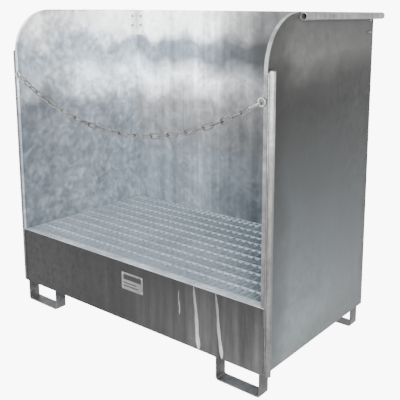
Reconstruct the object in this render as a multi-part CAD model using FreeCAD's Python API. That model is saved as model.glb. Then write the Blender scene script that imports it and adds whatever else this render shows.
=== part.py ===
import FreeCAD, Part

import math
import os

from FreeCAD import Placement, Rotation, Vector

# Walled spill station: a sump tray on four fork loops, covered by two lift-out gratings, with
# full-height walls on three sides and a guard chain across the open front.
# Millimetres, +Z up, +X to the right, the open front faces -Y.

# Overall sizes
tray_width = 1350.0  # outside the two side walls
tray_depth = 740.0  # front panel face to the back wall's outer face
overall_height = 1335.0  # floor to the top of the walls
foot_height = 90.0  # floor to the underside of the tray
tray_height = 250.0  # underside of the tray to its top rim
corner_radius = 185.0  # top front corner of each side wall

# Sheets
wall_sheet = 2.5
tray_sheet = 3.0
side_flange = 16.0  # inward return along the front, corner and top of a side wall
back_flange = 20.0  # outward return along the top of the back wall
rim_width = 30.0  # inward return along the top of the front panel
rim_lip = 15.0

# Edge tubes
post_diameter = 21.3  # 1/2 inch pipe, upright at the front
rail_diameter = 26.9  # 3/4 inch pipe, along the top
tube_wall = 2.6
rail_overhang = 45.0  # top tubes stand out behind the back wall
weld_gap = 0.2
plug_head = 9.0
plug_depth = 22.0
plug_clearance = 0.2

# Fork loops
foot_span = 200.0
foot_strap = 50.0
foot_sheet = 6.0
foot_bend = 12.0
foot_inset = 14.0  # from the side walls' outer faces
rear_foot_inset = 15.0

# Gratings
grating_depth = 30.0
bearing_bar = 3.0
bearing_pitch = 33.3
cross_bar = 2.5
cross_height = 10.0
cross_pitch = 66.6
slot_clearance = 0.1
end_space_share = 0.25  # least space left at the back, as a share of the pitch
grating_gap = 6.0  # around each panel
seam_gap = 4.0
seam_x = 162.0  # where the two panels meet
ledge_sheet = 4.0
ledge_leg = 30.0
front_ledge_leg = 60.0
ledge_drop = 40.0
front_ledge_rise = 25.0

# Back corner angles and their M6 bolts
angle_leg = 48.0
angle_sheet = 3.0
angle_length = 125.0
bolt_line = 33.0  # from the wall's inner face to the bolts
bolt_drops = (32.0, 78.0)
bolt_diameter = 6.0
bolt_clearance = 0.25
bolt_flats = 10.0
bolt_head = 4.0
nut_height = 5.0
bolt_tail = 3.0

# Type plate
plate_width = 120.0
plate_height = 72.0
plate_sheet = 1.0
plate_x = 32.0
plate_drop = 78.0  # tray rim to the plate's centre
rivet_inset = 7.0
rivet_diameter = 4.0
rivet_clearance = 0.1
rivet_head = 1.2
rivet_head_diameter = 7.0

# Guard chain
eye_bar = 8.0
eye_radius = 13.0  # to the middle of the bar
eye_inset = 20.0  # side wall face to the eye's centre
eye_height = 1050.0
link_bar = 6.0
link_inner_length = 44.0
link_inner_width = 12.0
chain_sag = 178.0
chain_slack = 0.3  # between two links where they pull on each other
end_inner_length = 46.0  # quick link and snap hook
end_inner_width = 18.0
sleeve_flats = 10.0
sleeve_length = 20.0
sleeve_clearance = 0.15
sleeve_gap = 8.0

# Snap hook gate
gate_nose = 12.0  # hook's near end to the gate's tip, along the hook
gate_length = 22.0  # tip to pivot
gate_clearance = 0.4
tongue_sheet = 2.0
pin_diameter = 2.0
pin_clearance = 0.05
cheek_clearance = 0.15

# Places that follow from the sizes above
half_width = tray_width / 2
chain_proud = end_inner_width / 2 + link_bar + eye_bar / 2 + weld_gap
front_y = (chain_proud - tray_depth - rail_overhang) / 2
back_y = front_y + tray_depth
inner_back_y = back_y - wall_sheet
inner_x = half_width - wall_sheet
tray_base = foot_height
tray_top = foot_height + tray_height
deck_base = tray_top - grating_depth
curve_base = overall_height - corner_radius
post_radius = post_diameter / 2
post_x = half_width + weld_gap + post_radius
rail_radius = rail_diameter / 2
rail_x = half_width + weld_gap + rail_radius
eye_x = half_width - eye_inset
eye_y = front_y - weld_gap - eye_bar / 2

across = Vector(1, 0, 0)
backward = Vector(0, 1, 0)
upward = Vector(0, 0, 1)


def save(node, *solids):
    """Writes one node; several solids stay separate inside it."""
    shape = solids[0] if len(solids) == 1 else Part.makeCompound(list(solids))
    shape.exportStep("parts/" + node + ".step")


def box(x0, x1, y0, y1, z0, z1):
    return Part.makeBox(x1 - x0, y1 - y0, z1 - z0, Vector(x0, y0, z0))


def rod(start, direction, length, radius):
    return Part.makeCylinder(radius, length, start, direction)


def tube(start, direction, length, radius):
    outer = rod(start, direction, length, radius)
    return outer.cut(rod(start, direction, length, radius - tube_wall))


def hexagon(start, direction, length, flats):
    """Hexagonal prism that starts at a point and runs along a direction."""
    corner = flats / math.sqrt(3)
    points = []
    for i in range(7):
        turn = math.radians(60 * i)
        points.append(Vector(corner * math.cos(turn), corner * math.sin(turn), 0))
    prism = Part.Face(Part.makePolygon(points)).extrude(Vector(0, 0, length))
    prism.Placement = Placement(start, Rotation(upward, direction))
    return prism


def mirrored(shape):
    return shape.mirror(Vector(0, 0, 0), across)


def side_profile(inset):
    """Front edge, rounded corner and top edge of a side wall, set in by a distance."""
    radius = corner_radius - inset
    middle = Vector(0, front_y + corner_radius, curve_base)
    low = Vector(0, front_y + inset, curve_base)
    bend = middle + Vector(0, -radius * math.cos(math.pi / 4), radius * math.sin(math.pi / 4))
    high = Vector(0, front_y + corner_radius, overall_height - inset)
    return low, Part.Arc(low, bend, high).toShape(), high


def side_wall():
    """Right side wall: plate with a rounded corner and an inward flange."""
    low, arc, high = side_profile(0)
    foot = Vector(0, front_y, tray_base)
    heel = Vector(0, inner_back_y, tray_base)
    crown = Vector(0, inner_back_y, overall_height)
    edges = [Part.makeLine(foot, low), arc, Part.makeLine(high, crown)]
    edges += [Part.makeLine(crown, heel), Part.makeLine(heel, foot)]
    plate = Part.Face(Part.Wire(edges)).extrude(Vector(wall_sheet, 0, 0))
    plate.translate(Vector(inner_x, 0, 0))

    inner_low, inner_arc, inner_high = side_profile(wall_sheet)
    start = Vector(0, front_y, tray_top + weld_gap)
    inner_start = Vector(0, front_y + wall_sheet, tray_top + weld_gap)
    inner_crown = Vector(0, inner_back_y, overall_height - wall_sheet)
    edges = [Part.makeLine(start, low), arc, Part.makeLine(high, crown)]
    edges += [Part.makeLine(crown, inner_crown), Part.makeLine(inner_crown, inner_high)]
    edges += [inner_arc, Part.makeLine(inner_low, inner_start), Part.makeLine(inner_start, start)]
    flange = Part.Face(Part.Wire(edges)).extrude(Vector(side_flange, 0, 0))
    flange.translate(Vector(half_width - side_flange, 0, 0))
    return plate.fuse(flange).removeSplitter()


def back_wall():
    plate = box(-half_width, half_width, inner_back_y, back_y, tray_base, overall_height)
    flange_base = overall_height - wall_sheet
    flange_y0 = back_y - wall_sheet
    flange_y1 = back_y + back_flange
    flange = box(-half_width, half_width, flange_y0, flange_y1, flange_base, overall_height)
    return plate.fuse(flange).removeSplitter()


def front_panel():
    panel = box(-inner_x, inner_x, front_y, front_y + tray_sheet, tray_base, tray_top)
    rim_back = front_y + rim_width
    rim = box(-inner_x, inner_x, front_y, rim_back, tray_top - tray_sheet, tray_top)
    lip = box(-inner_x, inner_x, rim_back - tray_sheet, rim_back, tray_top - rim_lip, tray_top)
    return panel.fuse([rim, lip]).removeSplitter()


def front_ledge():
    """Angle behind the front panel: a shelf under the gratings and a leg that rises to the rim."""
    y0 = front_y + tray_sheet
    base = deck_base - ledge_sheet
    shelf = box(-inner_x, inner_x, y0, y0 + front_ledge_leg, base, deck_base)
    leg = box(-inner_x, inner_x, y0, y0 + ledge_sheet, base, deck_base + front_ledge_rise)
    return shelf.fuse(leg).removeSplitter()


def rear_ledge():
    shelf = box(-inner_x, inner_x, inner_back_y - ledge_leg, inner_back_y, deck_base - ledge_sheet, deck_base)
    leg = box(-inner_x, inner_x, inner_back_y - ledge_sheet, inner_back_y, deck_base - ledge_drop, deck_base)
    return shelf.fuse(leg).removeSplitter()


def side_ledge(ledge_y0, ledge_y1):
    shelf = box(inner_x - ledge_leg, inner_x, ledge_y0, ledge_y1, deck_base - ledge_sheet, deck_base)
    leg = box(inner_x - ledge_sheet, inner_x, ledge_y0, ledge_y1, deck_base - ledge_drop, deck_base)
    return shelf.fuse(leg).removeSplitter()


def fork_loop(x0, y0):
    """Strap bent into a U, open to the front and back, under the tray."""
    outer = box(x0, x0 + foot_span, y0, y0 + foot_strap, 0, foot_height)
    low_edges = [e for e in outer.Edges if abs(e.CenterOfMass.z) < 1 and abs(e.tangentAt(0).y) > 0.9]
    outer = outer.makeFillet(foot_bend, low_edges)
    inner_x0 = x0 + foot_sheet
    inner_x1 = x0 + foot_span - foot_sheet
    inner = box(inner_x0, inner_x1, y0, y0 + foot_strap, foot_sheet, 2 * foot_height)
    low_edges = []
    for e in inner.Edges:
        if abs(e.CenterOfMass.z - foot_sheet) < 1 and abs(e.tangentAt(0).y) > 0.9:
            low_edges.append(e)
    inner = inner.makeFillet(foot_bend - foot_sheet, low_edges)
    return outer.cut(inner)


def post_plug():
    """Domed plastic plug in the top of the right post tube."""
    seat = Vector(post_x, front_y + post_radius, curve_base)
    dome_radius = (post_radius**2 + plug_head**2) / (2 * plug_head)
    ball = Part.makeSphere(dome_radius, seat + Vector(0, 0, plug_head - dome_radius))
    head = ball.common(rod(seat, upward, plug_head + 1, post_radius))
    stem_radius = post_radius - tube_wall - plug_clearance
    stem = rod(seat - Vector(0, 0, plug_depth), upward, plug_depth, stem_radius)
    return head.fuse(stem).removeSplitter()


def corner_angle():
    """Angle in the right back corner, with one leg on each wall."""
    top = overall_height - wall_sheet
    base = top - angle_length
    side_leg = box(inner_x - angle_sheet, inner_x, inner_back_y - angle_leg, inner_back_y, base, top)
    back_leg = box(inner_x - angle_leg, inner_x, inner_back_y - angle_sheet, inner_back_y, base, top)
    return side_leg.fuse(back_leg).removeSplitter()


def bolt_axes():
    """Where each bolt of the right back corner starts, on the inside, and which way it points."""
    axes = []
    for drop in bolt_drops:
        z = overall_height - drop
        axes.append((Vector(inner_x - angle_sheet, inner_back_y - bolt_line, z), across))
        axes.append((Vector(inner_x - bolt_line, inner_back_y - angle_sheet, z), backward))
    return axes


bolt_grip = angle_sheet + wall_sheet


def bolt_hole(start, direction):
    reach = bolt_grip + 2
    return rod(start - direction, direction, reach, bolt_diameter / 2 + bolt_clearance)


def corner_bolt(start, direction):
    head = hexagon(start - direction * bolt_head, direction, bolt_head, bolt_flats)
    shank = rod(start, direction, bolt_grip + nut_height + bolt_tail, bolt_diameter / 2)
    return head.fuse(shank).removeSplitter()


def corner_nut(start, direction):
    seat = start + direction * bolt_grip
    bore = rod(seat, direction, nut_height, bolt_diameter / 2 + bolt_clearance)
    return hexagon(seat, direction, nut_height, bolt_flats).cut(bore)


def rivet_places():
    plate_z = tray_top - plate_drop
    places = []
    for side in (-1, 1):
        for level in (-1, 1):
            x = plate_x + side * (plate_width / 2 - rivet_inset)
            z = plate_z + level * (plate_height / 2 - rivet_inset)
            places.append(Vector(x, front_y, z))
    return places


def rivet_hole(place):
    start = place - backward * (2 * plate_sheet)
    return rod(start, backward, 2 * plate_sheet + 2 * tray_sheet, rivet_diameter / 2 + rivet_clearance)


def type_plate():
    x0 = plate_x - plate_width / 2
    z0 = tray_top - plate_drop - plate_height / 2
    plate = box(x0, x0 + plate_width, front_y - plate_sheet, front_y, z0, z0 + plate_height)
    upright = [e for e in plate.Edges if abs(e.tangentAt(0).y) > 0.9]
    return plate.makeFillet(rivet_inset / 2, upright)


def rivet(place):
    """Domed rivet through the type plate and the front panel."""
    face = place - backward * plate_sheet
    radius = rivet_head_diameter / 2
    ball_radius = (radius**2 + rivet_head**2) / (2 * rivet_head)
    ball = Part.makeSphere(ball_radius, face + backward * (ball_radius - rivet_head))
    head = ball.common(rod(face, -backward, 2 * rivet_head, radius))
    shank = rod(face, backward, plate_sheet + tray_sheet, rivet_diameter / 2)
    tail = rod(place + backward * tray_sheet, backward, rivet_head, radius)
    return head.fuse([shank, tail]).removeSplitter()


# Gratings


def grating(x0, x1):
    """Pressed grating: an edge band, slotted bearing bars along Y and cross bars along X."""
    y0 = front_y + rim_width + grating_gap
    y1 = inner_back_y - grating_gap
    inside_x0 = x0 + bearing_bar
    inside_x1 = x1 - bearing_bar
    inside_y0 = y0 + bearing_bar
    inside_y1 = y1 - bearing_bar
    band = box(x0, x1, y0, y1, deck_base, tray_top)
    band = band.cut(box(inside_x0, inside_x1, inside_y0, inside_y1, deck_base, tray_top))

    rows = math.ceil((y1 - y0) / cross_pitch - end_space_share)
    row_places = [y0 + bearing_bar / 2 + cross_pitch * i for i in range(1, rows)]
    slot_base = tray_top - cross_height - slot_clearance
    half_slot = cross_bar / 2 + slot_clearance
    outline = [Vector(0, inside_y0, deck_base), Vector(0, inside_y0, tray_top)]
    for y in row_places:
        outline.append(Vector(0, y - half_slot, tray_top))
        outline.append(Vector(0, y - half_slot, slot_base))
        outline.append(Vector(0, y + half_slot, slot_base))
        outline.append(Vector(0, y + half_slot, tray_top))
    outline += [Vector(0, inside_y1, tray_top), Vector(0, inside_y1, deck_base), outline[0]]
    first_bar = Part.Face(Part.makePolygon(outline)).extrude(Vector(bearing_bar, 0, 0))

    bars = []
    columns = max(2, round((x1 - x0 - bearing_bar) / bearing_pitch))
    column_pitch = (x1 - x0 - bearing_bar) / columns
    for i in range(1, columns):
        bar = first_bar.copy()
        bar.translate(Vector(x0 + column_pitch * i, 0, 0))
        bars.append(bar)

    cross_bars = []
    for y in row_places:
        cross_base = tray_top - cross_height
        cross_bars.append(box(inside_x0, inside_x1, y - cross_bar / 2, y + cross_bar / 2, cross_base, tray_top))
    return band, bars, cross_bars


# Guard chain


def catenary(span, length):
    """Parameter of the catenary that hangs over a span with a given length."""
    low = span / 20
    high = span * 20
    for _ in range(80):
        middle = (low + high) / 2
        if 2 * middle * math.sinh(span / (2 * middle)) > length:
            low = middle
        else:
            high = middle
    return (low + high) / 2


def chain_layout():
    """Slope at the ends, catenary parameter, half span and number of links."""
    pitch = link_inner_length - chain_slack
    reach = eye_radius + end_inner_length - eye_bar / 2 - chain_slack - chain_slack / 2
    slope = math.atan(4 * chain_sag / (2 * eye_x))
    half_span = eye_x - reach * math.cos(slope)
    sag = chain_sag - reach * math.sin(slope)
    length = 2 * half_span * (1 + 8 / 3 * (sag / (2 * half_span)) ** 2)
    links = 2 * round((length / pitch - 1) / 2) + 1  # odd, because both end pieces lie the same way
    if links * pitch < 2 * half_span * 1.01:
        links += 2
    for _ in range(60):
        half_span = eye_x - reach * math.cos(slope)
        parameter = catenary(2 * half_span, links * pitch)
        slope = math.atan(math.sinh(half_span / parameter))
    return slope, parameter, half_span, links, pitch, reach


def loop(inner_length, inner_width, bar):
    """Closed link made of two straight rods and two half tori, in its own frame."""
    radius = inner_width / 2 + bar / 2
    half = inner_length / 2 - inner_width / 2
    pieces = []
    for side in (-1, 1):
        pieces.append(rod(Vector(-half, side * radius, 0), across, 2 * half, bar / 2))
        ring = Part.makeTorus(radius, bar / 2, Vector(side * half, 0, 0), upward)
        reach = radius + bar
        near, far = sorted((side * half, side * (half + reach)))
        pieces.append(ring.common(box(near, far, -reach, reach, -bar, bar)))
    return pieces[0].fuse(pieces[1:]).removeSplitter()


def placed(shape, middle, direction, lies_flat):
    """Puts a piece from its own frame onto the chain's line, in one of the two link planes."""
    pitch_angle = math.degrees(math.atan2(direction.z, direction.x))
    turn = Rotation(backward, -pitch_angle)
    if not lies_flat:
        turn = turn.multiply(Rotation(across, 90))
    copy = shape.copy()
    copy.Placement = Placement(middle, turn)
    return copy


def quick_link():
    """Oval quick link with its gap under the sleeve nut, and the nut, in their own frame."""
    side_y = -(end_inner_width / 2 + link_bar / 2)
    ring = loop(end_inner_length, end_inner_width, link_bar)
    gap = box(-sleeve_gap / 2, sleeve_gap / 2, side_y - link_bar, side_y + link_bar, -link_bar, link_bar)
    nut = hexagon(Vector(-sleeve_length / 2, side_y, 0), across, sleeve_length, sleeve_flats)
    bore_radius = link_bar / 2 + sleeve_clearance
    bore = rod(Vector(-sleeve_length, side_y, 0), across, 2 * sleeve_length, bore_radius)
    return ring.cut(gap), nut.cut(bore)


def snap_hook():
    """Hook body, gate and gate pin in their own frame; the eye end is at -X, the gate at -Y."""
    bar_radius = link_bar / 2
    side_y = -(end_inner_width / 2 + bar_radius)
    tip_x = -end_inner_length / 2 + gate_nose
    pivot_x = tip_x + gate_length
    shoulder_x = pivot_x + bar_radius + gate_clearance
    pivot = Vector(pivot_x, side_y, -link_bar)

    body = loop(end_inner_length, end_inner_width, link_bar)
    near_y = side_y - link_bar
    far_y = side_y + link_bar
    opening = box(tip_x - gate_clearance, shoulder_x, near_y, far_y, -link_bar, link_bar)
    body = body.cut(opening)
    half_tongue = tongue_sheet / 2
    tongue_x1 = shoulder_x + bar_radius
    tongue = box(pivot_x, tongue_x1, side_y - bar_radius, side_y + bar_radius, -half_tongue, half_tongue)
    tongue = tongue.fuse(rod(Vector(pivot_x, side_y, -half_tongue), upward, tongue_sheet, bar_radius))
    limit = rod(Vector(pivot_x - bar_radius, side_y, 0), across, 4 * bar_radius, bar_radius)
    body = body.fuse(tongue.common(limit)).removeSplitter()
    body = body.cut(rod(pivot, upward, 2 * link_bar, pin_diameter / 2 + pin_clearance))

    gate = rod(Vector(tip_x, side_y, 0), across, gate_length, bar_radius)
    knuckle = rod(Vector(pivot_x, side_y, -bar_radius), upward, link_bar, bar_radius)
    round_end = knuckle.common(rod(Vector(tip_x, side_y, 0), across, 2 * gate_length, bar_radius))
    gate = gate.fuse(round_end).removeSplitter()
    half_slot = half_tongue + cheek_clearance
    slot_x0 = pivot_x - bar_radius - gate_clearance
    gate = gate.cut(box(slot_x0, shoulder_x, side_y - link_bar, side_y + link_bar, -half_slot, half_slot))
    gate = gate.cut(rod(pivot, upward, 2 * link_bar, pin_diameter / 2))
    pin = rod(Vector(pivot_x, side_y, -bar_radius), upward, link_bar, pin_diameter / 2)
    return body, gate, pin, Vector(pivot_x, side_y, 0)


def build_root():
    right_wall = side_wall()
    left_wall = mirrored(right_wall)
    rear_plate = back_wall()
    right_angle = corner_angle()
    bolts = []
    nuts = []
    for start, direction in bolt_axes():
        hole = bolt_hole(start, direction)
        right_angle = right_angle.cut(hole)
        right_wall = right_wall.cut(hole)
        left_wall = left_wall.cut(mirrored(hole))
        rear_plate = rear_plate.cut(hole).cut(mirrored(hole))
        bolt = corner_bolt(start, direction)
        nut = corner_nut(start, direction)
        bolts += [bolt, mirrored(bolt)]
        nuts += [nut, mirrored(nut)]
    save("right_wall", right_wall)
    save("left_wall", left_wall)
    save("back_wall", rear_plate)
    save("corner_angle_right", right_angle)
    save("corner_angle_left", mirrored(right_angle))
    save("corner_bolts", *bolts)
    save("corner_nuts", *nuts)

    panel = front_panel()
    plate = type_plate()
    for place in rivet_places():
        panel = panel.cut(rivet_hole(place))
        plate = plate.cut(rivet_hole(place))
    save("front_panel", panel)
    save("type_plate", plate)
    save("type_plate_rivets", *[rivet(place) for place in rivet_places()])

    floor_y0 = front_y + tray_sheet
    save("tray_floor", box(-inner_x, inner_x, floor_y0, inner_back_y, tray_base, tray_base + tray_sheet))
    ledge_y0 = front_y + tray_sheet + front_ledge_leg
    ledge_y1 = inner_back_y - ledge_leg
    save("ledge_front", front_ledge())
    save("ledge_rear", rear_ledge())
    ledge = side_ledge(ledge_y0, ledge_y1)
    save("ledge_right", ledge)
    save("ledge_left", mirrored(ledge))

    foot_x = half_width - foot_inset - foot_span
    front_loop = fork_loop(foot_x, front_y)
    rear_loop = fork_loop(foot_x, back_y - rear_foot_inset - foot_strap)
    save("foot_front_right", front_loop)
    save("foot_front_left", mirrored(front_loop))
    save("foot_rear_right", rear_loop)
    save("foot_rear_left", mirrored(rear_loop))

    post_foot = Vector(post_x, front_y + post_radius, tray_base)
    post = tube(post_foot, upward, curve_base - tray_base, post_radius)
    rail_start = Vector(rail_x, front_y + corner_radius, overall_height - rail_radius)
    rail = tube(rail_start, backward, tray_depth - corner_radius + rail_overhang, rail_radius)
    save("post_tube_right", post)
    save("post_tube_left", mirrored(post))
    save("rail_tube_right", rail)
    save("rail_tube_left", mirrored(rail))
    plug = post_plug()
    save("post_plug_right", plug)
    save("post_plug_left", mirrored(plug))

    eye = Part.makeTorus(eye_radius, eye_bar / 2, Vector(eye_x, eye_y, eye_height), backward)
    save("chain_eye_right", eye)
    save("chain_eye_left", mirrored(eye))


def build_gratings():
    side_x = inner_x - grating_gap
    panels = {"left": (-side_x, seam_x - seam_gap / 2), "right": (seam_x + seam_gap / 2, side_x)}
    for name, (x0, x1) in panels.items():
        band, bars, cross_bars = grating(x0, x1)
        save("grating_" + name + "_band", band)
        save("grating_" + name + "_bearing_bars", *bars)
        save("grating_" + name + "_cross_bars", *cross_bars)


def build_chain():
    slope, parameter, half_span, links, pitch, reach = chain_layout()
    end_z = eye_height - reach * math.sin(slope)
    lowest = end_z - parameter * (math.cosh(half_span / parameter) - 1)
    half_length = links * pitch / 2

    def point(along):
        """Point of the hanging chain at a length from its left end."""
        x = parameter * math.asinh((along - half_length) / parameter)
        return Vector(x, eye_y, lowest + parameter * (math.cosh(x / parameter) - 1))

    flat_link = loop(link_inner_length, link_inner_width, link_bar)
    chain = []
    for i in range(links):
        start = point(i * pitch)
        end = point((i + 1) * pitch)
        chain.append(placed(flat_link, (start + end) / 2, end - start, i % 2 == 1))
    save("chain_links", *chain)

    down_right = Vector(math.cos(slope), 0, -math.sin(slope))
    down_left = Vector(-math.cos(slope), 0, -math.sin(slope))
    left_eye = Vector(-eye_x, eye_y, eye_height)
    right_eye = Vector(eye_x, eye_y, eye_height)
    middle = eye_radius - eye_bar / 2 - chain_slack + end_inner_length / 2
    ring, nut = quick_link()
    save("quick_link", placed(ring, left_eye + down_right * middle, down_right, True))
    save("quick_link_nut", placed(nut, left_eye + down_right * middle, down_right, True))

    body, gate, pin, pivot = snap_hook()
    hook_middle = right_eye + down_left * middle
    flip = Rotation(backward, -math.degrees(math.atan2(down_left.z, down_left.x)))
    for node, shape in (("snap_hook", body), ("snap_gate", gate), ("snap_gate_pin", pin)):
        save(node, placed(shape, hook_middle, down_left, True))
    pivot_place = hook_middle + flip.multVec(pivot)
    gate_axis = flip.multVec(upward)
    swing_z = eye_height - eye_radius * math.sin(slope)
    print("links", links, "end slope", round(math.degrees(slope), 3), "lowest", round(lowest, 3))
    print("chain swing axis", 0.0, round(eye_y, 4), round(swing_z, 4))
    print("gate pivot", [round(v, 4) for v in pivot_place], "axis", [round(v, 6) for v in gate_axis])


def main():
    os.makedirs("parts", exist_ok=True)
    build_root()
    build_gratings()
    build_chain()
    print("front", round(front_y, 3), "back", round(back_y, 3))


main()
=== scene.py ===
import math

import bpy
from mathutils import Matrix, Vector


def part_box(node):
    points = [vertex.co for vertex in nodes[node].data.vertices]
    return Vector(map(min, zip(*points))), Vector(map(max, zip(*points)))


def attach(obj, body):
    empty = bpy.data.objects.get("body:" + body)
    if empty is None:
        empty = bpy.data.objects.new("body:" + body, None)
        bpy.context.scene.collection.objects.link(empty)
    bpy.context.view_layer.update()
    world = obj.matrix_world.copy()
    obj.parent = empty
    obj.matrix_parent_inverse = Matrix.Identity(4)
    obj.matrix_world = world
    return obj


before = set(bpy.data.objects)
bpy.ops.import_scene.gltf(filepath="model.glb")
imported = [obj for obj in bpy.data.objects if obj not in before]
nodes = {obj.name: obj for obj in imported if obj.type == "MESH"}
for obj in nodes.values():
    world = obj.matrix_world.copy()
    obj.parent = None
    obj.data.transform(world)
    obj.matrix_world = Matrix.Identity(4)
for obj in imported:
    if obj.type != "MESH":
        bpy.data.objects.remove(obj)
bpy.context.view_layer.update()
scene = bpy.context.scene

# The camera stands to the right of the open front, level with the top of the walls.
camera = {
    "place": (1.8667, -2.1137, 1.3464),
    "azimuth": 37.095,
    "pitch": -10.443,
    "roll": 0.438,
    "lens": 59.449,
    "sensor": 36.0,
    "reach": 60.0,
    "shift": (-0.0959, -0.175),
}


def addCamera(c):
    data = bpy.data.cameras.new("stationCamera")
    data.lens = c["lens"]
    data.sensor_width = c["sensor"]
    data.shift_x, data.shift_y = c["shift"]
    data.clip_end = c["reach"]
    obj = bpy.data.objects.new("stationCamera", data)
    scene.collection.objects.link(obj)
    az, el, roll = (math.radians(c[k]) for k in ("azimuth", "pitch", "roll"))
    ahead = Vector((-math.sin(az) * math.cos(el), math.cos(az) * math.cos(el), math.sin(el)))
    right = Vector((math.cos(az), math.sin(az), 0.0))
    up = right.cross(ahead)
    r = right * math.cos(roll) + up * math.sin(roll)
    u = up * math.cos(roll) - right * math.sin(roll)
    turn = Matrix((r, u, -ahead)).transposed()
    obj.matrix_world = Matrix.Translation(Vector(c["place"])) @ turn.to_4x4()
    scene.camera = obj


addCamera(camera)
print("camera placed")


# Small helpers for building node trees.
def addNode(tree, kind, settings=None, **inputs):
    node = tree.nodes.new(kind)
    for key, value in (settings or {}).items():
        setattr(node, key, value)
    for key, value in inputs.items():
        socket = node.inputs[int(key[1:])] if key[0] == "_" else node.inputs[key]
        if isinstance(value, bpy.types.NodeSocket):
            tree.links.new(value, socket)
        else:
            socket.default_value = value
    return node


def doMath(tree, operation, a, b=0.0):
    return addNode(tree, "ShaderNodeMath", {"operation": operation}, _0=a, _1=b).outputs[0]


def spread(tree, value, low, high, fromLow=0.0, fromHigh=1.0, smooth=False):
    settings = {"interpolation_type": "SMOOTHSTEP"} if smooth else {}
    node = addNode(tree, "ShaderNodeMapRange", settings, _0=value, _1=fromLow, _2=fromHigh, _3=low, _4=high)
    return node.outputs[0]


def stretched(tree, coords, scale):
    return addNode(tree, "ShaderNodeMapping", None, Vector=coords, Scale=scale).outputs[0]


def mixColors(tree, factor, a, b):
    node = addNode(tree, "ShaderNodeMix", {"data_type": "RGBA"})
    for key, value in (("Factor", factor), ("A", a), ("B", b)):
        socket = [s for s in node.inputs if s.name == key and s.enabled][0]
        if isinstance(value, bpy.types.NodeSocket):
            tree.links.new(value, socket)
        else:
            socket.default_value = value
    return [s for s in node.outputs if s.enabled][0]


def rampOf(tree, value, stops):
    node = addNode(tree, "ShaderNodeValToRGB", None, Fac=value)
    ramp = node.color_ramp
    while len(ramp.elements) < len(stops):
        ramp.elements.new(0.5)
    for element, (place, color) in zip(ramp.elements, stops):
        element.position = place
        element.color = color if isinstance(color, tuple) else (color, color, color, 1)
    return node.outputs[0]


def newMaterial(name):
    mat = bpy.data.materials.new(name)
    mat.use_nodes = True
    return mat, mat.node_tree, mat.node_tree.nodes["Principled BSDF"]


# Studio: pale floor, white surroundings and three large soft lights.
studio = {
    "floorColor": (0.95, 0.95, 0.95, 1),
    "floorSize": 40.0,
    "floorRough": 0.9,
    "floorSheen": 0.05,
    "floorGlow": 10.3,  # what the eye sees of the lit floor, on top of its own shade
    "floorGlowShare": 0.85,
    "worldColor": (1.0, 1.0, 1.0, 1),
    "worldStrength": 1.45,
    "worldSeen": 9.0,
}


def addStudio(s):
    half = s["floorSize"] / 2
    mesh = bpy.data.meshes.new("studioFloor")
    corners = [(-half, -half, 0), (half, -half, 0), (half, half, 0), (-half, half, 0)]
    mesh.from_pydata(corners, [], [(0, 1, 2, 3)])
    floor = bpy.data.objects.new("studioFloor", mesh)
    scene.collection.objects.link(floor)
    mat, tree, shader = newMaterial("paleFloor")
    shader.inputs["Base Color"].default_value = s["floorColor"]
    shader.inputs["Roughness"].default_value = s["floorRough"]
    shader.inputs["Specular IOR Level"].default_value = s["floorSheen"]
    glow = addNode(tree, "ShaderNodeEmission", None, Strength=s["floorGlow"])
    path = addNode(tree, "ShaderNodeLightPath")
    share = doMath(tree, "MULTIPLY", path.outputs["Is Camera Ray"], s["floorGlowShare"])
    both = addNode(tree, "ShaderNodeMixShader", None, _0=share, _1=shader.outputs[0], _2=glow.outputs[0])
    tree.links.new(both.outputs[0], tree.nodes["Material Output"].inputs["Surface"])
    mesh.materials.append(mat)
    world = bpy.data.worlds.new("studioWorld")
    scene.world = world
    world.use_nodes = True
    back = world.node_tree.nodes["Background"]
    back.inputs["Color"].default_value = s["worldColor"]
    path = addNode(world.node_tree, "ShaderNodeLightPath")
    seen = spread(world.node_tree, path.outputs["Is Camera Ray"], s["worldStrength"], s["worldSeen"])
    world.node_tree.links.new(seen, back.inputs["Strength"])


def addPanelLight(name, place, aim, size, power, tint=(1, 1, 1)):
    data = bpy.data.lights.new(name, "AREA")
    data.shape = "RECTANGLE"
    data.size, data.size_y = size
    data.energy = power
    data.color = tint
    obj = bpy.data.objects.new(name, data)
    scene.collection.objects.link(obj)
    toAim = Vector(aim) - Vector(place)
    turn = toAim.to_track_quat("-Z", "Y").to_matrix().to_4x4()
    obj.matrix_world = Matrix.Translation(Vector(place)) @ turn


addStudio(studio)
addPanelLight("broadFront", (-0.6, -4.6, 2.4), (-0.1, 0.2, 0.8), (4.0, 3.0), 300.0)
addPanelLight("farLeft", (-4.2, -3.9, 1.9), (-0.3, 0.3, 1.1), (2.5, 2.5), 90.0, (0.95, 0.98, 1.0))
addPanelLight("farRight", (3.4, -3.4, 2.2), (-0.3, 0.2, 0.9), (2.5, 2.5), 400.0)
print("studio ready")


# Galvanised steel. Colours run with height and along the sheet as painted reflections, highlights and shade;
# clouds, streaks and crystals of zinc break them up.
zinc = {
    "wanderScale": 4.0,
    "wander": 0.06,
    "blotchScale": 14.0,
    "grimeScale": 55.0,
    "grime": 0.07,
    "rippleScale": 9.0,
    "facetRelief": 0.12,
    "bump": 0.25,
    "bumpDepth": 0.004,
    "metal": 0.3,
}


def softPatch(tree, coords, patch, value):
    away = addNode(tree, "ShaderNodeVectorMath", {"operation": "SUBTRACT"}, _0=coords, _1=patch["at"]).outputs[0]
    scaled = addNode(tree, "ShaderNodeVectorMath", {"operation": "DIVIDE"}, _0=away, _1=patch["size"]).outputs[0]
    reach = addNode(tree, "ShaderNodeVectorMath", {"operation": "LENGTH"}, _0=scaled).outputs["Value"]
    gain = spread(tree, reach, patch["gain"], 1.0, patch.get("core", 0.0), 1.0, smooth=True)
    return doMath(tree, "MULTIPLY", value, gain)


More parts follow.
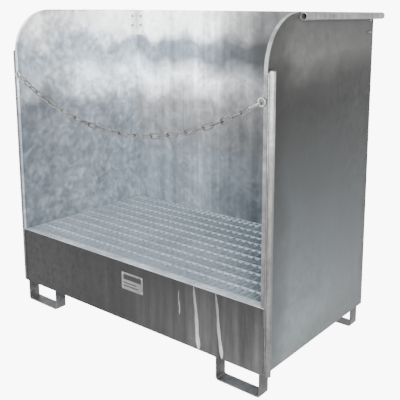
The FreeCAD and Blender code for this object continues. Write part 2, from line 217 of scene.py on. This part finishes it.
def zincColor(tree, coords, look):
    axes = addNode(tree, "ShaderNodeSeparateXYZ", None, Vector=coords)
    wander = addNode(tree, "ShaderNodeTexNoise", None, Vector=coords, Scale=zinc["wanderScale"], Detail=3.0)
    strength = look.get("wander", zinc["wander"])
    drift = spread(tree, wander.outputs["Fac"], -strength, strength, 0.3, 0.7)
    height = doMath(tree, "ADD", axes.outputs["Z"], drift)
    low, high = look["span"]
    color = rampOf(tree, spread(tree, height, 0.0, 1.0, low, high), look["heights"])
    value = spread(tree, wander.outputs["Fac"], 1 - look["cloud"], 1 + look["cloud"], 0.3, 0.7)
    if "sweep" in look:
        along = doMath(tree, "ADD", axes.outputs[look["sweepAxis"]], drift)
        first, last = look["sweepSpan"]
        gain = rampOf(tree, spread(tree, along, 0.0, 1.0, first, last), look["sweep"])
        value = doMath(tree, "MULTIPLY", value, gain)
    along = stretched(tree, coords, look["streakScale"])
    lines = addNode(tree, "ShaderNodeTexNoise", None, Vector=along, Scale=1.0, Detail=5.0, Roughness=0.65)
    gain = spread(tree, lines.outputs["Fac"], 1 - look["streak"], 1 + look["streak"], 0.3, 0.7)
    value = doMath(tree, "MULTIPLY", value, gain)
    if "blotch" in look:  # where the zinc ran and set unevenly
        swirl = addNode(
            tree, "ShaderNodeTexNoise", None, Vector=coords, Scale=zinc["blotchScale"], Detail=3.0, Distortion=1.6
        )
        gain = spread(tree, swirl.outputs["Fac"], 1 - look["blotch"] / 2, 1 + look["blotch"], 0.42, 0.72)
        value = doMath(tree, "MULTIPLY", value, gain)
    for patch in look.get("patches", ()):
        value = softPatch(tree, coords, patch, value)
    return color, value


def galvanised(name, finish, outside=None, side=None):
    mat, tree, shader = newMaterial(name)
    coords = addNode(tree, "ShaderNodeTexCoord").outputs["Object"]
    color, value = zincColor(tree, coords, finish)
    # a second colour copy for the other face of the sheet: the lit face and the shaded face are painted apart
    if outside:
        otherColor, otherValue = zincColor(tree, coords, outside)
        axes = addNode(tree, "ShaderNodeSeparateXYZ", None, Vector=coords)
        depth = doMath(tree, "ABSOLUTE", axes.outputs[side["axis"]])
        isOut = doMath(tree, "GREATER_THAN", depth, side["middle"])
        color = mixColors(tree, isOut, color, otherColor)
        value = spread(tree, isOut, value, otherValue)
    crystals = addNode(
        tree, "ShaderNodeTexVoronoi", {"feature": "SMOOTH_F1"}, Vector=coords, Scale=finish["spangleScale"]
    )
    facet = addNode(tree, "ShaderNodeSeparateColor", None, Color=crystals.outputs["Color"]).outputs[0]
    value = doMath(tree, "MULTIPLY", value, spread(tree, facet, 1 - finish["spangle"], 1 + finish["spangle"]))
    grime = addNode(tree, "ShaderNodeTexNoise", None, Vector=coords, Scale=zinc["grimeScale"], Detail=4.0)
    gain = spread(tree, grime.outputs["Fac"], 1 - zinc["grime"], 1 + zinc["grime"], 0.3, 0.7)
    value = doMath(tree, "MULTIPLY", value, gain)
    shade = addNode(tree, "ShaderNodeHueSaturation", None, Value=value, Color=color)
    tree.links.new(shade.outputs[0], shader.inputs["Base Color"])
    mostly, partly = doMath(tree, "MULTIPLY", facet, 0.6), doMath(tree, "MULTIPLY", grime.outputs["Fac"], 0.4)
    patchy = doMath(tree, "ADD", mostly, partly)
    tree.links.new(spread(tree, patchy, *finish["rough"], 0.1, 0.8), shader.inputs["Roughness"])
    ripple = addNode(
        tree, "ShaderNodeTexNoise", None, Vector=coords, Scale=zinc["rippleScale"], Detail=5.0, Roughness=0.6
    )
    relief = doMath(tree, "ADD", ripple.outputs["Fac"], doMath(tree, "MULTIPLY", facet, zinc["facetRelief"]))
    bump = addNode(tree, "ShaderNodeBump", None, Strength=zinc["bump"], Distance=zinc["bumpDepth"], Height=relief)
    tree.links.new(bump.outputs[0], shader.inputs["Normal"])
    shader.inputs["Metallic"].default_value = finish.get("metal", zinc["metal"])
    return mat


def dress(mat, *names):
    for name in names:
        slots = nodes[name].data.materials
        slots.clear()
        slots.append(mat)


# Front panel: dark with painted shade, slightly brown, darkest at the top under the rim and painted lighter
# towards the bottom and the right; mottled.
frontFinish = {
    "span": (0.09, 0.34),
    "heights": [
        (0.0, (0.040, 0.040, 0.041, 1)),
        (0.3, (0.038, 0.0375, 0.0375, 1)),
        (0.7, (0.026, 0.0255, 0.025, 1)),
        (1.0, (0.014, 0.014, 0.0145, 1)),
    ],
    "wander": 0.03,
    "cloud": 0.25,
    "sweepAxis": "X",
    "sweepSpan": (-0.675, 0.675),
    # painted light: the panel grows lighter towards the right
    "sweep": [(0.0, 0.17), (0.3, 0.15), (0.5, 0.26), (0.68, 0.62), (0.85, 1.0), (1.0, 1.15)],
    "streak": 0.60,
    "streakScale": (24.0, 24.0, 1.6),
    # lighter upright strips
    "patches": [
        {"at": (-0.12, -0.383, 0.21), "size": (0.022, 0.1, 0.26), "gain": 1.5},
        {"at": (0.095, -0.383, 0.16), "size": (0.016, 0.1, 0.16), "gain": 1.35},
        {"at": (0.282, -0.383, 0.24), "size": (0.012, 0.1, 0.09), "gain": 1.5},
        {"at": (0.55, -0.383, 0.2), "size": (0.03, 0.1, 0.26), "gain": 1.25},
    ],
    "spangle": 0.12,
    "spangleScale": 60.0,
    "rough": (0.34, 0.58),
    "metal": 0.5,
}

# Walls, seen from inside: a painted highlight high up, bluish grey below, and painted bands of reflection and
# shade between.
leftInside = {
    "span": (0.34, 1.335),
    "heights": [
        (0.0, (0.26, 0.30, 0.34, 1)),
        (0.35, (0.21, 0.243, 0.276, 1)),
        (0.55, (0.25, 0.28, 0.31, 1)),
        (0.68, (0.56, 0.61, 0.66, 1)),
        (0.82, (0.36, 0.42, 0.48, 1)),
        (0.92, (0.95, 0.97, 0.98, 1)),
        (1.0, (0.97, 0.97, 0.97, 1)),
    ],
    "cloud": 0.20,
    "sweepAxis": "Y",
    "sweepSpan": (-0.38, 0.355),
    # painted light: the left wall grows lighter towards the back
    "sweep": [(0.0, 0.8), (0.2, 0.85), (0.45, 1.25), (1.0, 1.25)],
    "streak": 0.12,
    "streakScale": (16.0, 16.0, 2.2),
    "wander": 0.07,
    # patches of painted highlight and painted shade
    "patches": [
        {"at": (-0.672, 0.02, 1.03), "size": (0.1, 0.14, 0.1), "gain": 1.6},
        {"at": (-0.672, 0.24, 1.03), "size": (0.1, 0.06, 0.05), "gain": 1.7},
        {"at": (-0.672, 0.17, 1.16), "size": (0.1, 0.12, 0.08), "gain": 0.55},
        {"at": (-0.672, -0.24, 0.90), "size": (0.1, 0.12, 0.1), "gain": 0.72},
        {"at": (-0.672, -0.27, 0.44), "size": (0.1, 0.09, 0.035), "gain": 1.6},
        {"at": (-0.672, -0.05, 0.55), "size": (0.1, 0.11, 0.02), "gain": 1.35},
        {"at": (-0.672, 0.12, 0.40), "size": (0.1, 0.08, 0.03), "gain": 1.3},
        {"at": (-0.672, 0.18, 0.55), "size": (0.1, 0.05, 0.1), "gain": 0.8},
    ],
    "blotch": 0.32,
    "spangle": 0.24,
    "spangleScale": 42.0,
    "rough": (0.3, 0.5),
}
backInside = {
    "span": (0.34, 1.335),
    "heights": [
        (0.0, (0.215, 0.252, 0.288, 1)),
        (0.25, (0.185, 0.218, 0.249, 1)),
        (0.40, (0.160, 0.167, 0.176, 1)),
        (0.56, (0.25, 0.255, 0.262, 1)),
        (0.68, (0.82, 0.86, 0.90, 1)),
        (0.79, (0.16, 0.19, 0.22, 1)),
        (0.86, (0.20, 0.23, 0.26, 1)),
        (0.92, (0.90, 0.92, 0.94, 1)),
        (0.97, (0.95, 0.96, 0.97, 1)),
    ],
    "cloud": 0.14,
    "sweepAxis": "X",
    "sweepSpan": (-0.675, 0.675),
    # painted highlight on the left half, painted shadow of the right wall on the right half
    "sweep": [(0.0, 1.15), (0.28, 1.15), (0.36, 1.0), (0.44, 0.62), (0.52, 0.46), (0.62, 0.30), (1.0, 0.3)],
    "streak": 0.34,
    "streakScale": (15.0, 15.0, 0.55),
    "wander": 0.05,
    "blotch": 0.25,
    # lighter upright strips on the left; painted shade in darker patches in the middle and a broad painted shadow
    # at the upper right
    "patches": [
        {"at": (-0.27, 0.354, 1.06), "size": (0.026, 0.1, 0.34), "gain": 1.55},
        {"at": (-0.155, 0.354, 1.12), "size": (0.018, 0.1, 0.3), "gain": 1.4},
        {"at": (-0.12, 0.354, 0.86), "size": (0.022, 0.1, 0.2), "gain": 1.35},
        {"at": (-0.235, 0.354, 0.55), "size": (0.02, 0.1, 0.16), "gain": 1.4},
        {"at": (0.03, 0.354, 0.78), "size": (0.05, 0.1, 0.16), "gain": 0.7},
        {"at": (0.13, 0.354, 0.72), "size": (0.07, 0.1, 0.2), "gain": 0.75},
        {"at": (0.33, 0.354, 1.22), "size": (0.58, 0.1, 0.42), "gain": 0.22, "core": 0.3},
    ],
    "spangle": 0.12,
    "spangleScale": 42.0,
    "rough": (0.28, 0.48),
}

# Walls, seen from outside, painted as reflection and shade: brown-grey at the top, a dark belt, then bluish and
# paler downwards.
wallOutside = {
    "span": (0.09, 1.335),
    "heights": [
        (0.0, (0.092, 0.106, 0.109, 1)),
        (0.12, (0.094, 0.110, 0.117, 1)),
        (0.3, (0.054, 0.064, 0.069, 1)),
        (0.5, (0.0245, 0.0295, 0.0318, 1)),
        (0.66, (0.0120, 0.0136, 0.0140, 1)),
        (0.735, (0.0058, 0.0060, 0.0059, 1)),
        (0.79, (0.0135, 0.0135, 0.0129, 1)),
        (0.87, (0.076, 0.075, 0.071, 1)),
        (1.0, (0.045, 0.047, 0.046, 1)),
    ],
    "cloud": 0.10,
    "sweepAxis": "Y",
    "sweepSpan": (-0.38, 0.357),
    # painted shade towards the front and rear ends
    "sweep": [(0.0, 0.45), (0.09, 0.55), (0.19, 1.0), (0.5, 0.92), (0.93, 0.74), (0.985, 0.36)],
    "streak": 0.07,
    "streakScale": (7.0, 7.0, 1.2),
    "wander": 0.04,
    # lighter patches
    "patches": [
        {"at": (0.675, 0.235, 0.98), "size": (0.1, 0.035, 0.13), "gain": 1.7},
        {"at": (0.675, 0.235, 1.14), "size": (0.1, 0.06, 0.08), "gain": 1.15},
        {"at": (0.675, -0.1, 0.2), "size": (0.1, 0.25, 0.1), "gain": 1.25},
    ],
    "spangle": 0.06,
    "spangleScale": 36.0,
    "rough": (0.4, 0.6),
}

# Painted shade: the right wall's inner face and front flange lie in shade, with a painted highlight along the
# top.
rightInside = dict(
    leftInside,
    heights=[
        (0.0, (0.07, 0.075, 0.08, 1)),
        (0.6, (0.10, 0.105, 0.11, 1)),
        (0.9, (0.30, 0.31, 0.32, 1)),
        (1.0, (0.5, 0.5, 0.5, 1)),
    ],
    patches=[],
)

# The rim's top face, painted lighter than the front face as the lit top of the same sheet.
rimFinish = {
    "span": (0.09, 0.34),
    "heights": [(0.0, (0.30, 0.33, 0.36, 1)), (1.0, (0.42, 0.46, 0.50, 1))],
    "cloud": 0.25,
    "streak": 0.25,
    "streakScale": (14.0, 60.0, 14.0),
}

halfSheet = 0.0012
backFlange = 0.020
rimMiddle = {"axis": "Z", "middle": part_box("front_panel")[1][2] - halfSheet}
sideMiddle = {"axis": "X", "middle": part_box("right_wall")[1][0] - halfSheet}
backMiddle = {"axis": "Y", "middle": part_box("back_wall")[1][1] - backFlange - halfSheet}
dress(galvanised("frontZinc", frontFinish, rimFinish, rimMiddle), "front_panel")
dress(galvanised("leftZinc", leftInside, wallOutside, sideMiddle), "left_wall")
dress(galvanised("rightZinc", rightInside, wallOutside, sideMiddle), "right_wall")
dress(galvanised("backZinc", backInside, wallOutside, backMiddle), "back_wall")
print("sheets dressed")

# Gratings and what lies under them.
gratingFinish = {
    "span": (0.30, 0.34),
    "heights": [
        (0.0, (0.40, 0.47, 0.53, 1)),
        (0.6, (0.40, 0.47, 0.53, 1)),
        (1.0, (0.25, 0.29, 0.325, 1)),
    ],
    "wander": 0.0,
    "cloud": 0.10,
    "streak": 0.12,
    "streakScale": (3.0, 30.0, 3.0),
    "spangle": 0.10,
    "spangleScale": 90.0,
    "rough": (0.4, 0.6),
    "metal": 0.15,
}
# painted light: the tray floor and ledges are made pale to lift the shade under the gratings
trayFinish = dict(
    gratingFinish,
    span=(0.09, 0.34),
    heights=[(0.0, (0.66, 0.70, 0.73, 1)), (1.0, (0.60, 0.64, 0.67, 1))],
)

# Tubes, straps and fittings.
tubeFinish = {
    "span": (0.09, 1.335),
    # painted highlight towards the top and painted shade towards the foot
    "heights": [
        (0.0, (0.075, 0.074, 0.074, 1)),
        (0.3, (0.10, 0.098, 0.097, 1)),
        (0.6, (0.15, 0.148, 0.145, 1)),
        (0.8, (0.40, 0.40, 0.395, 1)),
        (1.0, (0.60, 0.61, 0.61, 1)),
    ],
    "cloud": 0.3,
    "streak": 0.35,
    "streakScale": (60.0, 60.0, 8.0),
    "spangle": 0.14,
    "spangleScale": 110.0,
    "rough": (0.3, 0.5),
    "metal": 0.7,
}
# painted shade: the feet are darker towards the top, under the tray
strapFinish = dict(
    tubeFinish,
    span=(0.0, 0.09),
    heights=[
        (0.0, (0.11, 0.11, 0.112, 1)),
        (0.5, (0.06, 0.06, 0.062, 1)),
        (1.0, (0.035, 0.035, 0.036, 1)),
    ],
    streakScale=(20.0, 20.0, 20.0),
)


def between(low, high):
    return [(0.0, low), (1.0, high)]


fittingFinish = dict(tubeFinish, heights=between((0.2, 0.2, 0.2, 1), (0.30, 0.30, 0.295, 1)), metal=0.8)
railFinish = dict(tubeFinish, heights=between((0.2, 0.2, 0.2, 1), (0.22, 0.23, 0.23, 1)))
shadedFinish = dict(tubeFinish, heights=between((0.09, 0.09, 0.09, 1), (0.07, 0.07, 0.07, 1)))
chainFinish = dict(
    fittingFinish, heights=between((0.10, 0.10, 0.10, 1), (0.15, 0.148, 0.142, 1)), spangleScale=240.0
)
angleFinish = dict(fittingFinish, heights=between((0.6, 0.62, 0.64, 1), (0.82, 0.83, 0.84, 1)))

gratingZinc = galvanised("gratingZinc", gratingFinish)
for side in ("left", "right"):
    dress(gratingZinc, *("grating_%s_%s" % (side, part) for part in ("band", "bearing_bars", "cross_bars")))
ledges = ["ledge_" + side for side in ("front", "rear", "left", "right")]
dress(galvanised("trayZinc", trayFinish), "tray_floor", *ledges)
tubeZinc = galvanised("tubeZinc", tubeFinish)
dress(tubeZinc, "post_tube_right")
dress(galvanised("railZinc", railFinish), "rail_tube_left", "rail_tube_right")
dress(galvanised("shadedZinc", shadedFinish), "post_tube_left")
strapZinc = galvanised("strapZinc", strapFinish)
dress(strapZinc, *("foot_%s_%s" % (end, side) for end in ("front", "rear") for side in ("left", "right")))
fittingZinc = galvanised("fittingZinc", fittingFinish)
dress(fittingZinc, "corner_bolts", "corner_nuts", "type_plate_rivets", "chain_eye_left", "chain_eye_right")
dress(galvanised("chainZinc", chainFinish), "chain_links")
dress(fittingZinc, "quick_link", "quick_link_nut", "snap_hook", "snap_gate", "snap_gate_pin")
dress(galvanised("angleZinc", angleFinish), "corner_angle_left", "corner_angle_right")
print("steel dressed")

# Plugs: black moulded plastic.
plug = {
    "color": (0.012, 0.012, 0.013, 1),
    "dust": (0.05, 0.05, 0.052, 1),
    "rough": (0.32, 0.5),
    "grainScale": 600.0,
    "dustScale": 60.0,
    "bump": 0.2,
    "bumpDepth": 0.0004,
}


def blackPlastic(name, p):
    mat, tree, shader = newMaterial(name)
    coords = addNode(tree, "ShaderNodeTexCoord").outputs["Object"]
    grain = addNode(tree, "ShaderNodeTexNoise", None, Vector=coords, Scale=p["grainScale"], Detail=3.0)
    dust = addNode(tree, "ShaderNodeTexNoise", None, Vector=coords, Scale=p["dustScale"], Detail=4.0)
    color = mixColors(tree, spread(tree, dust.outputs["Fac"], 0.0, 0.5, 0.45, 0.8), p["color"], p["dust"])
    tree.links.new(color, shader.inputs["Base Color"])
    tree.links.new(spread(tree, grain.outputs["Fac"], *p["rough"]), shader.inputs["Roughness"])
    bump = addNode(
        tree, "ShaderNodeBump", None, Strength=p["bump"], Distance=p["bumpDepth"], Height=grain.outputs["Fac"]
    )
    tree.links.new(bump.outputs[0], shader.inputs["Normal"])
    return mat


dress(blackPlastic("plugPlastic", plug), "post_plug_left", "post_plug_right")

# Type plate: pale printed aluminium with a plain dark band and two plain lines under it.
plate = {
    "color": (0.115, 0.11, 0.112, 1),
    "ink": (0.004, 0.004, 0.004, 1),
    "tint": (0.075, 0.065, 0.07, 1),
    # left, right, bottom and top of each printed patch, from the plate's middle
    "bars": [
        (-0.050, 0.050, 0.006, 0.028),
        (-0.050, 0.022, -0.010, -0.005),
        (-0.050, 0.034, -0.023, -0.018),
    ],
    "softEdge": 0.001,
    "wear": (0.2, 0.2, 0.2, 1),
    "wearScale": 90.0,
    "metal": 0.4,
    "rough": (0.28, 0.42),
}


def printedPlate(name, p):
    mat, tree, shader = newMaterial(name)
    low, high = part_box("type_plate")
    coords = addNode(tree, "ShaderNodeTexCoord").outputs["Object"]
    axes = addNode(tree, "ShaderNodeSeparateXYZ", None, Vector=coords)
    x = doMath(tree, "SUBTRACT", axes.outputs["X"], (low[0] + high[0]) / 2)
    z = doMath(tree, "SUBTRACT", axes.outputs["Z"], (low[2] + high[2]) / 2)

    def within(value, first, last):
        above = spread(tree, value, 0.0, 1.0, first - p["softEdge"], first + p["softEdge"])
        below = spread(tree, value, 1.0, 0.0, last - p["softEdge"], last + p["softEdge"])
        return doMath(tree, "MULTIPLY", above, below)

    ink = None
    for left, right, bottom, top in p["bars"]:
        patch = doMath(tree, "MULTIPLY", within(x, left, right), within(z, bottom, top))
        ink = patch if ink is None else doMath(tree, "MAXIMUM", ink, patch)
    wear = addNode(tree, "ShaderNodeTexNoise", None, Vector=coords, Scale=p["wearScale"], Detail=4.0)
    base = mixColors(tree, spread(tree, x, 0.0, 0.8, -0.02, 0.06), p["color"], p["tint"])
    base = mixColors(tree, spread(tree, wear.outputs["Fac"], 0.0, 0.35, 0.45, 0.75), base, p["wear"])
    tree.links.new(mixColors(tree, ink, base, p["ink"]), shader.inputs["Base Color"])
    tree.links.new(spread(tree, wear.outputs["Fac"], *p["rough"]), shader.inputs["Roughness"])
    shader.inputs["Metallic"].default_value = p["metal"]
    return mat


dress(printedPlate("printedPlate", plate), "type_plate")
print("plastic and plate dressed")


# Geometry Nodes: a lump of metal on every vertex, for weld beads and forged crossings.
def lumpTree():
    tree = bpy.data.node_groups.new("metalLumps", "GeometryNodeTree")
    face = tree.interface
    face.new_socket("Geometry", in_out="OUTPUT", socket_type="NodeSocketGeometry")
    face.new_socket("Geometry", in_out="INPUT", socket_type="NodeSocketGeometry")
    kinds = {"Size": "Vector", "Variation": "Float", "Seed": "Int", "Finish": "Material"}
    for name, kind in kinds.items():
        face.new_socket(name, in_out="INPUT", socket_type="NodeSocket" + kind)
    given = addNode(tree, "NodeGroupInput")
    result = addNode(tree, "NodeGroupOutput")
    ball = addNode(tree, "GeometryNodeMeshUVSphere", None, Segments=8, Rings=5, Radius=1.0)
    least = doMath(tree, "SUBTRACT", 1.0, given.outputs["Variation"])
    most = doMath(tree, "ADD", 1.0, given.outputs["Variation"])
    chance = addNode(tree, "FunctionNodeRandomValue", {"data_type": "FLOAT"})
    for name, value in (("Min", least), ("Max", most), ("Seed", given.outputs["Seed"])):
        tree.links.new(value, [s for s in chance.inputs if s.name == name and s.enabled][0])
    factor = [s for s in chance.outputs if s.enabled][0]
    scale = addNode(tree, "ShaderNodeVectorMath", {"operation": "SCALE"}, _0=given.outputs["Size"])
    tree.links.new(factor, scale.inputs["Scale"])
    put = addNode(
        tree,
        "GeometryNodeInstanceOnPoints",
        None,
        Points=given.outputs["Geometry"],
        Instance=ball.outputs["Mesh"],
        Scale=scale.outputs[0],
    )
    real = addNode(tree, "GeometryNodeRealizeInstances", None, Geometry=put.outputs[0])
    smooth = addNode(tree, "GeometryNodeSetShadeSmooth", None, Geometry=real.outputs[0])
    painted = addNode(
        tree, "GeometryNodeSetMaterial", None, Geometry=smooth.outputs[0], Material=given.outputs["Finish"]
    )
    tree.links.new(painted.outputs[0], result.inputs[0])
    return tree


def growPiece(name, points, tree, values, body):
    mesh = bpy.data.meshes.new(name + "Seed")
    mesh.from_pydata(points, [], [])
    obj = bpy.data.objects.new(name, mesh)
    scene.collection.objects.link(obj)
    modifier = obj.modifiers.new("grow", "NODES")
    modifier.node_group = tree
    for item in tree.interface.items_tree:
        if item.in_out == "INPUT" and item.name in values:
            modifier[item.identifier] = values[item.name]
    bpy.context.view_layer.update()
    grown = bpy.data.meshes.new_from_object(obj.evaluated_get(bpy.context.evaluated_depsgraph_get()))
    obj.modifiers.clear()
    obj.data = grown
    grown.name = name
    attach(obj, body)


lumps = lumpTree()

# Weld beads: stitches along the posts, full runs in the panel's corners and on the fork loops.
welds = {
    "step": 0.0034,
    "postLump": (0.0034, 0.0030, 0.0030),
    "cornerLump": (0.0026, 0.0022, 0.0026),
    "loopLump": (0.0026, 0.0030, 0.0024),
    "variation": 0.18,
    "postTop": 1.142,
    "postInset": 0.0035,
    "postFoot": 0.004,
    "cornerProud": 0.0004,
    "cornerFoot": 0.003,
    "cornerHead": 0.004,
    "loopInset": 0.002,
    "loopDrop": 0.001,
}


def lineOf(start, end, step):
    a, b = Vector(start), Vector(end)
    count = max(1, int((b - a).length / step))
    return [a.lerp(b, i / count) for i in range(count + 1)]


def weldPiece(name, runs, lump, finish, seed):
    points = [p for start, end in runs for p in lineOf(start, end, welds["step"])]
    values = {"Size": lump, "Variation": welds["variation"], "Seed": seed, "Finish": finish}
    growPiece(name, points, lumps, values, "station")


panelLow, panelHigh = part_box("front_panel")
postRuns, cornerRuns, loopRuns = [], [], []
for side in ("left", "right"):
    low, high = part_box("post_tube_" + side)
    wallLow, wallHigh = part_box(side + "_wall")
    seam = wallHigh[0] if side == "right" else wallLow[0]
    y = low[1] + welds["postInset"]
    postRuns.append(((seam, y, low[2] + welds["postFoot"]), (seam, y, welds["postTop"])))
    x = panelHigh[0] if side == "right" else panelLow[0]
    y = panelLow[1] - welds["cornerProud"]
    cornerRuns.append(((x, y, panelLow[2] + welds["cornerFoot"]), (x, y, panelHigh[2] - welds["cornerHead"])))
for end in ("front", "rear"):
    for side in ("left", "right"):
        low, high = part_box("foot_%s_%s" % (end, side))
        inset, z = welds["loopInset"], high[2] - welds["loopDrop"]
        for x in (low[0], high[0]):
            loopRuns.append(((x, low[1] + inset, z), (x, high[1] - inset, z)))
weldPiece("postWelds", postRuns, welds["postLump"], tubeZinc, 3)
weldPiece("cornerWelds", cornerRuns, welds["cornerLump"], strapZinc, 5)
weldPiece("loopWelds", loopRuns, welds["loopLump"], strapZinc, 7)
print("welds grown")

# Forged crossings: where a cross bar sits in a bearing bar, the zinc gathers in a small pad.
crossing = {"size": (0.0034, 0.0034, 0.0011), "variation": 0.2, "seed": 11, "thickestBar": 0.0032}


def barMiddles(name, axis):
    values = sorted({round(v.co[axis], 5) for v in nodes[name].data.vertices})
    return [(a + b) / 2 for a, b in zip(values, values[1:]) if b - a < crossing["thickestBar"]]


for side in ("left", "right"):
    columns = barMiddles("grating_%s_bearing_bars" % side, 0)
    rows = barMiddles("grating_%s_cross_bars" % side, 1)
    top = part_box("grating_%s_bearing_bars" % side)[1][2]
    places = [(x, y, top) for x in columns for y in rows]
    values = {
        "Size": crossing["size"],
        "Variation": crossing["variation"],
        "Seed": crossing["seed"],
        "Finish": gratingZinc,
    }
    growPiece("crossingPads_" + side, places, lumps, values, "grating_" + side)
    print("crossings", side, len(columns), "by", len(rows))

# Zinc runs: two long drips down the front panel and a short one.
runs = {
    "rise": 0.0009,
    "standOff": 0.0002,
    "rows": 22,
    "across": 7,
    # foot of the run, top of the run, widths there
    "drips": [
        ((0.380, 0.091), (0.357, 0.338), (0.024, 0.010)),
        ((0.489, 0.091), (0.461, 0.336), (0.020, 0.009)),
        ((0.286, 0.205), (0.280, 0.300), (0.006, 0.004)),
    ],
    "wobble": 0.0015,
    "wobbleTurns": 9.0,
    "wobblePhase": 40,
    "swell": 0.12,
    "swellTurns": 17.0,
    "roundEnds": 8,
    "endWidth": 0.04,
}
runFinish = dict(
    tubeFinish,
    span=(0.09, 0.34),
    heights=[(0.0, (0.36, 0.36, 0.355, 1)), (0.6, (0.19, 0.19, 0.19, 1)), (1.0, (0.10, 0.10, 0.10, 1))],
    streakScale=(90.0, 90.0, 6.0),
)


def dripMesh(face, r):
    points, faces = [], []
    for (footX, footZ), (topX, topZ), (wide, narrow) in r["drips"]:
        start = len(points)
        for i in range(r["rows"] + 1):
            t = i / r["rows"]
            bend = r["wobble"] * math.sin(r["wobbleTurns"] * t + footX * r["wobblePhase"])
            middle = footX + (topX - footX) * t + bend
            swell = 1 + r["swell"] * math.sin(r["swellTurns"] * t)
            taper = math.sqrt(min(1.0, r["roundEnds"] * min(t, 1 - t) + r["endWidth"]))
            half = (wide + (narrow - wide) * t) * 0.5 * swell * taper
            z = footZ + (topZ - footZ) * t
            for j in range(r["across"]):
                s = -1 + 2 * j / (r["across"] - 1)
                y = face + r["standOff"] - (r["rise"] + r["standOff"]) * (1 - s * s)
                points.append((middle + half * s, y, z))
        row = r["across"]
        for i in range(r["rows"]):
            for j in range(row - 1):
                k = start + i * row + j
                faces.append((k, k + 1, k + row + 1, k + row))
        for i in range(r["rows"]):  # flat back, against the panel
            k = start + i * row
            faces.append((k + row, k + 2 * row - 1, k + row - 1, k))
        faces.append(tuple(start + j for j in reversed(range(row))))
        last = start + r["rows"] * row
        faces.append(tuple(last + j for j in range(row)))
    return points, faces


points, faces = dripMesh(panelLow[1], runs)
mesh = bpy.data.meshes.new("zincRuns")
mesh.from_pydata(points, [], faces)
mesh.shade_smooth()
zincRuns = bpy.data.objects.new("zincRuns", mesh)
scene.collection.objects.link(zincRuns)
mesh.materials.append(galvanised("runZinc", runFinish))
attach(zincRuns, "station")
print("zinc runs laid")
